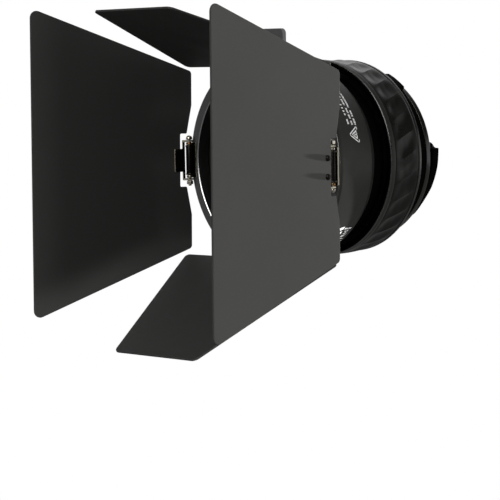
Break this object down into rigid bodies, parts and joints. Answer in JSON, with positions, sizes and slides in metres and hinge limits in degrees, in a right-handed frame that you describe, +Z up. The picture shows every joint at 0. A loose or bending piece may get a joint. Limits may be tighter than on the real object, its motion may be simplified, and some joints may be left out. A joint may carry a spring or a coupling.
{
  "type": "barn door attachment",
  "caption": "Black barn door attachment: hinged trapezoid leaves on a round front ring, tapered lens barrel, scalloped focus grip and rear bayonet flange.",
  "frame": {"origin": "on the rear mounting face, at its bearing point straight above the optical axis, which runs 37 mm below the origin", "axes": "+Z up, -Y forward along the beam, +X to the right seen from the front"},
  "size_m": [0.1518, 0.2151, 0.1922],
  "materials": {
    "leaf_paint": "matte charcoal paint on sheet metal",
    "ring_paint": "satin dark grey paint",
    "black_metal": "semi gloss black",
    "shell_plastic": "fine moulded texture, black",
    "grip_plastic": "satin moulded grip, black",
    "chrome": "bright plated",
    "steel": "plain turned steel",
    "lens_glass": "clear lens over a dark interior"
  },
  "bodies": {
    "mount": {"rear_collar": "black_metal", "guide_tube": "black_metal", "bayonet_flange": "black_metal", "flange_screw_1": "steel", "flange_screw_2": "steel", "flange_screw_3": "steel", "flange_screw_4": "steel"},
    "focus_grip": {"focus_grip": "grip_plastic", "cam_ring": "steel"},
    "lens_head": {"lens_barrel": "shell_plastic", "ring_guide_screw_1": "black_metal", "ring_guide_screw_2": "black_metal", "ring_guide_screw_3": "black_metal", "fresnel_lens": "lens_glass", "lens_retaining_ring": "black_metal", "focus_sleeve": "black_metal", "cam_pin_1": "steel", "cam_pin_2": "steel", "cam_pin_3": "steel", "top_catch_pin": "steel", "top_catch_spring": "steel"},
    "front_ring": {"front_ring": "ring_paint", "top_ring_bracket": "black_metal", "top_bracket_screw_a": "black_metal", "top_bracket_screw_b": "black_metal", "top_hinge_pin": "chrome", "top_lock_nut": "chrome", "bottom_ring_bracket": "black_metal", "bottom_bracket_screw_a": "black_metal", "bottom_bracket_screw_b": "black_metal", "bottom_hinge_pin": "chrome", "bottom_lock_nut": "chrome", "left_ring_bracket": "black_metal", "left_bracket_screw_a": "black_metal", "left_bracket_screw_b": "black_metal", "left_hinge_pin": "chrome", "left_lock_nut": "chrome", "right_ring_bracket": "black_metal", "right_bracket_screw_a": "black_metal", "right_bracket_screw_b": "black_metal", "right_hinge_pin": "chrome", "right_lock_nut": "chrome"},
    "top_catch": {"top_catch_plate": "ring_paint"},
    "top_leaf": {"top_leaf_bracket": "black_metal", "top_leaf": "leaf_paint", "top_leaf_rivet_a": "black_metal", "top_leaf_rivet_b": "black_metal"},
    "bottom_leaf": {"bottom_leaf_bracket": "black_metal", "bottom_leaf": "leaf_paint", "bottom_leaf_rivet_a": "black_metal", "bottom_leaf_rivet_b": "black_metal"},
    "left_leaf": {"left_leaf_bracket": "black_metal", "left_leaf": "leaf_paint", "left_leaf_rivet_a": "black_metal", "left_leaf_rivet_b": "black_metal"},
    "right_leaf": {"right_leaf_bracket": "black_metal", "right_leaf": "leaf_paint", "right_leaf_rivet_a": "black_metal", "right_leaf_rivet_b": "black_metal"}
  },
  "joints": [
    {"name": "head_slide", "type": "slide", "parent": "mount", "child": "lens_head", "axis": [0, 1, 0], "range_m": [-0.007, 0.009]},
    {"name": "grip_turn", "type": "hinge", "parent": "mount", "child": "focus_grip", "pos_m": [0, -0.0415, -0.037], "axis": [0, 1, 0], "range_deg": [-31.12, 39.88]},
    {"name": "ring_turn", "type": "hinge", "parent": "lens_head", "child": "front_ring", "pos_m": [0, -0.102, -0.037], "axis": [0, 1, 0], "continuous": true},
    {"name": "catch_tilt", "type": "hinge", "parent": "lens_head", "child": "top_catch", "pos_m": [0, -0.09, 0.0272], "axis": [1, 0, 0], "range_deg": [-24, 0]},
    {"name": "top_leaf_hinge", "type": "hinge", "parent": "front_ring", "child": "top_leaf", "pos_m": [0, -0.1058, 0.0223], "axis": [1, 0, 0], "range_deg": [-70, 93]},
    {"name": "bottom_leaf_hinge", "type": "hinge", "parent": "front_ring", "child": "bottom_leaf", "pos_m": [0, -0.1058, -0.0963], "axis": [1, 0, 0], "range_deg": [-101, 62]},
    {"name": "left_leaf_hinge", "type": "hinge", "parent": "front_ring", "child": "left_leaf", "pos_m": [-0.0593, -0.1058, -0.037], "axis": [0, 0, 1], "range_deg": [-83, 23]},
    {"name": "right_leaf_hinge", "type": "hinge", "parent": "front_ring", "child": "right_leaf", "pos_m": [0.0593, -0.1058, -0.037], "axis": [0, 0, 1], "range_deg": [-28, 82]}
  ],
  "couplings": [
    {"joint": "grip_turn", "follows": "head_slide", "rad_per_m": 76.358}
  ]
}
